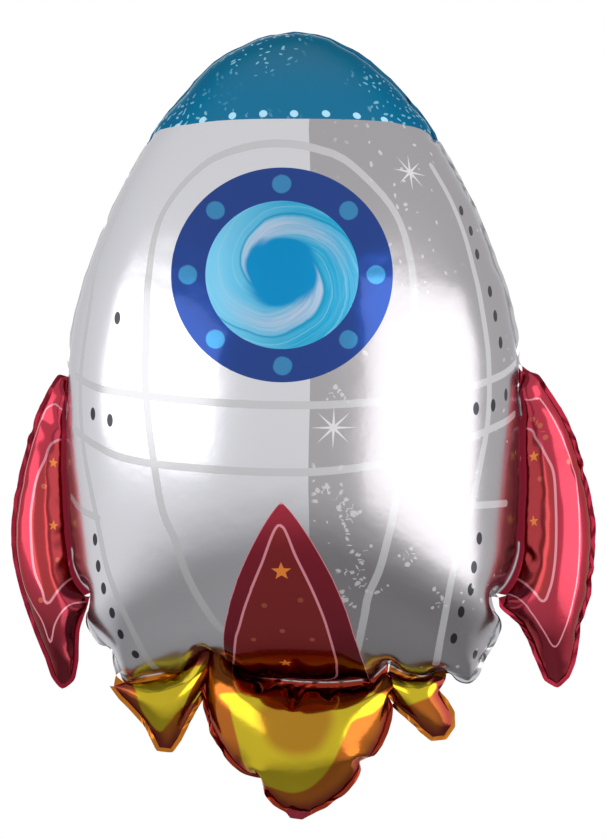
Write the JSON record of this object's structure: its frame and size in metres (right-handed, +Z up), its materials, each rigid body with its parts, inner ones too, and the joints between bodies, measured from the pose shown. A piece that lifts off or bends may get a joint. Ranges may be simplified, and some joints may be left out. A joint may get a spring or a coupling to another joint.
{
  "type": "rocket-shaped foil balloon",
  "caption": "Filled foil balloon in the shape of a rocket: egg-shaped silver body with a blue nose and printed porthole, crimson side fins and gold flames, tied at its neck.",
  "frame": {"origin": "lower end of the filling neck, where the tether is tied", "axes": "+Z up along the rocket, +X to the right of somebody who looks at the front, front towards -Y"},
  "size_m": [0.5452, 0.3214, 0.741],
  "materials": {
    "silver_foil": "metallised polymer film, satin silver, half of it under a grey tint print",
    "blue_foil": "metallised polymer film, teal blue print with pale flecks",
    "ring_foil": "metallised polymer film, deep blue print with pale rivet dots",
    "pane_foil": "metallised polymer film, sky blue print with a pale swirl",
    "crimson_foil": "metallised polymer film, crimson print, mirror bright",
    "gold_foil": "metallised polymer film, yellow print with an orange border, mirror bright",
    "seam_foil": "metallised polymer film, heat-sealed flat, puckered"
  },
  "bodies": {
    "root": {"body_front": "silver_foil", "body_back": "silver_foil", "nose_front": "blue_foil", "nose_back": "blue_foil", "porthole_ring_front": "ring_foil", "porthole_ring_back": "ring_foil", "porthole_pane_front": "pane_foil", "porthole_pane_back": "pane_foil", "centre_fin_front": "crimson_foil", "centre_fin_back": "crimson_foil", "fin_left_front": "crimson_foil", "fin_left_back": "crimson_foil", "fin_right_front": "crimson_foil", "fin_right_back": "crimson_foil", "flame_left_front": "gold_foil", "flame_left_back": "gold_foil", "flame_centre_front": "gold_foil", "flame_centre_back": "gold_foil", "flame_right_front": "gold_foil", "flame_right_back": "gold_foil", "weld_seam": "seam_foil", "filling_neck": "crimson_foil"}
  },
  "joints": []
}
